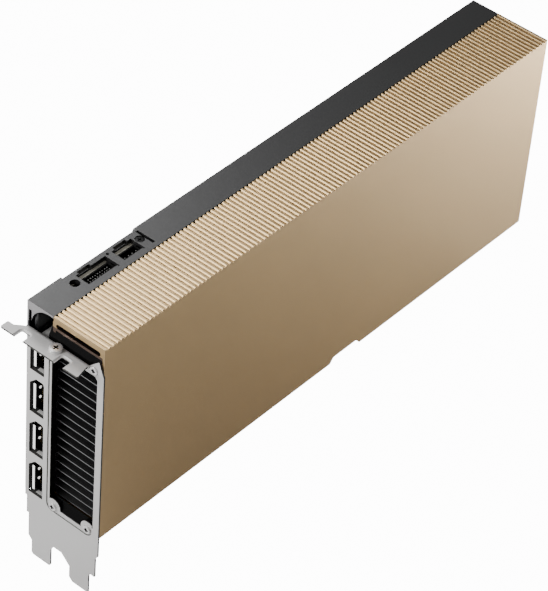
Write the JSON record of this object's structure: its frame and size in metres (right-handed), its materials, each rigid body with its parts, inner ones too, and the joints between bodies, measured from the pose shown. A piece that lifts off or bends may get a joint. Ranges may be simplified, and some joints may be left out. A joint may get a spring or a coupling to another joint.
{
  "type": "passive accelerator card",
  "caption": "Two-slot passive accelerator card with a ribbed gold cover, straight-through fins, display sockets in a vented bracket, and a card-edge tongue.",
  "frame": {"origin": "where the bracket's outer face, the board's component face and the bottom of the edge contacts meet", "axes": "+X from the bracket to the rear end, -Y from the board out to the gold side, +Z from the card edge up to the ribbed top"},
  "size_m": [0.2756, 0.0446, 0.1305],
  "materials": {
    "gold": "satin gold anodised",
    "dark_metal": "matte black coated sheet",
    "nickel_sheet": "satin nickel plated",
    "nickel_screw": "nickel plated",
    "black_screw": "black zinc",
    "spring_steel": "plain steel",
    "black_plastic": "moulded black",
    "board": "solder mask over glass fibre laminate",
    "contact_gold": "gold plated",
    "socket_shell": "nickel plated shell",
    "socket_plastic": "moulded black",
    "fin_metal": "plain aluminium",
    "substrate": "green laminate",
    "ring_metal": "plated ring",
    "silicon": "polished silicon",
    "chip_plastic": "black moulding compound",
    "pad": "soft thermal pad",
    "ferrite": "pressed ferrite",
    "connector_plastic": "moulded black",
    "clip_metal": "plain steel"
  },
  "bodies": {
    "root": {"gold_cover": "gold", "top_frame": "dark_metal", "backplate": "dark_metal", "io_bracket": "nickel_sheet", "flange_screw": "nickel_screw", "bracket_screws": "nickel_screw", "top_screw": "black_screw", "backplate_screws": "black_screw", "heatsink_screws": "spring_steel", "front_duct": "black_plastic", "rear_frame": "black_plastic", "power_header": "black_plastic", "pcb": "board", "power_pins": "contact_gold", "sync_pins": "contact_gold", "aux_pins": "contact_gold", "port_shell_1": "socket_shell", "port_shell_2": "socket_shell", "port_shell_3": "socket_shell", "port_shell_4": "socket_shell", "port_insert_1": "socket_plastic", "port_insert_2": "socket_plastic", "port_insert_3": "socket_plastic", "port_insert_4": "socket_plastic", "heatsink_base": "fin_metal", "fin_stack": "fin_metal", "gpu_substrate": "substrate", "gpu_stiffener": "ring_metal", "gpu_die": "silicon", "memory_chip_1": "chip_plastic", "memory_chip_2": "chip_plastic", "memory_chip_3": "chip_plastic", "memory_chip_4": "chip_plastic", "memory_chip_5": "chip_plastic", "memory_chip_6": "chip_plastic", "memory_chip_7": "chip_plastic", "memory_chip_8": "chip_plastic", "memory_pad_1": "pad", "memory_pad_2": "pad", "inductor_pad": "pad", "inductor_1": "ferrite", "inductor_2": "ferrite", "inductor_3": "ferrite", "inductor_4": "ferrite", "inductor_5": "ferrite", "inductor_6": "ferrite", "sync_connector": "connector_plastic", "aux_connector": "connector_plastic", "frame_clip": "clip_metal"}
  },
  "joints": []
}
